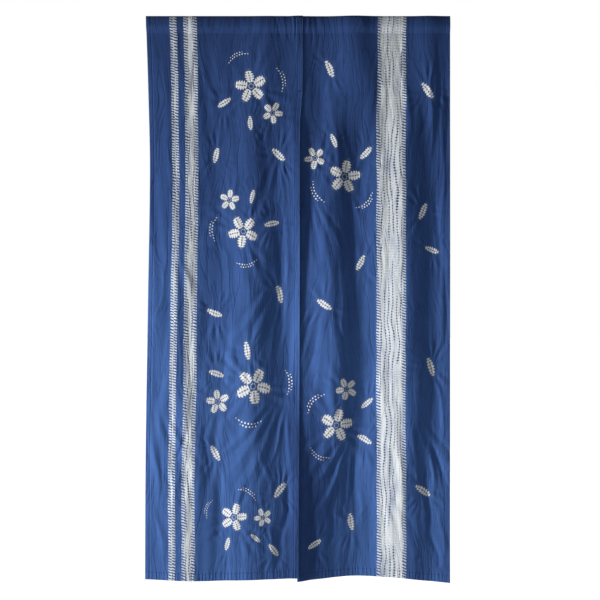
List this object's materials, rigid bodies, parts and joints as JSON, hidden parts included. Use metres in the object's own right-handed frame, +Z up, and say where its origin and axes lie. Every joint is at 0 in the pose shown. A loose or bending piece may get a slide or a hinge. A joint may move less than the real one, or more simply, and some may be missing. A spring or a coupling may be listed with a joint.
{
  "type": "noren curtain",
  "caption": "Hanging cloth door curtain of two long panels, joined under one rod pocket and open along a slit up the middle.",
  "frame": {"origin": "middle of the top edge of the rod pocket, where the curtain is held up", "axes": "+Z up, the front faces -Y, +X to the right as seen from the front"},
  "size_m": [0.808, 0.0361, 1.504],
  "materials": {
    "indigo_cotton": "plain-woven indigo-dyed cotton with undyed stitched-resist marks",
    "pocket_cotton": "plain-woven indigo-dyed cotton, turned over and stitched"
  },
  "bodies": {
    "root": {"left_panel": "indigo_cotton", "right_panel": "indigo_cotton", "rod_pocket": "pocket_cotton"}
  },
  "joints": []
}
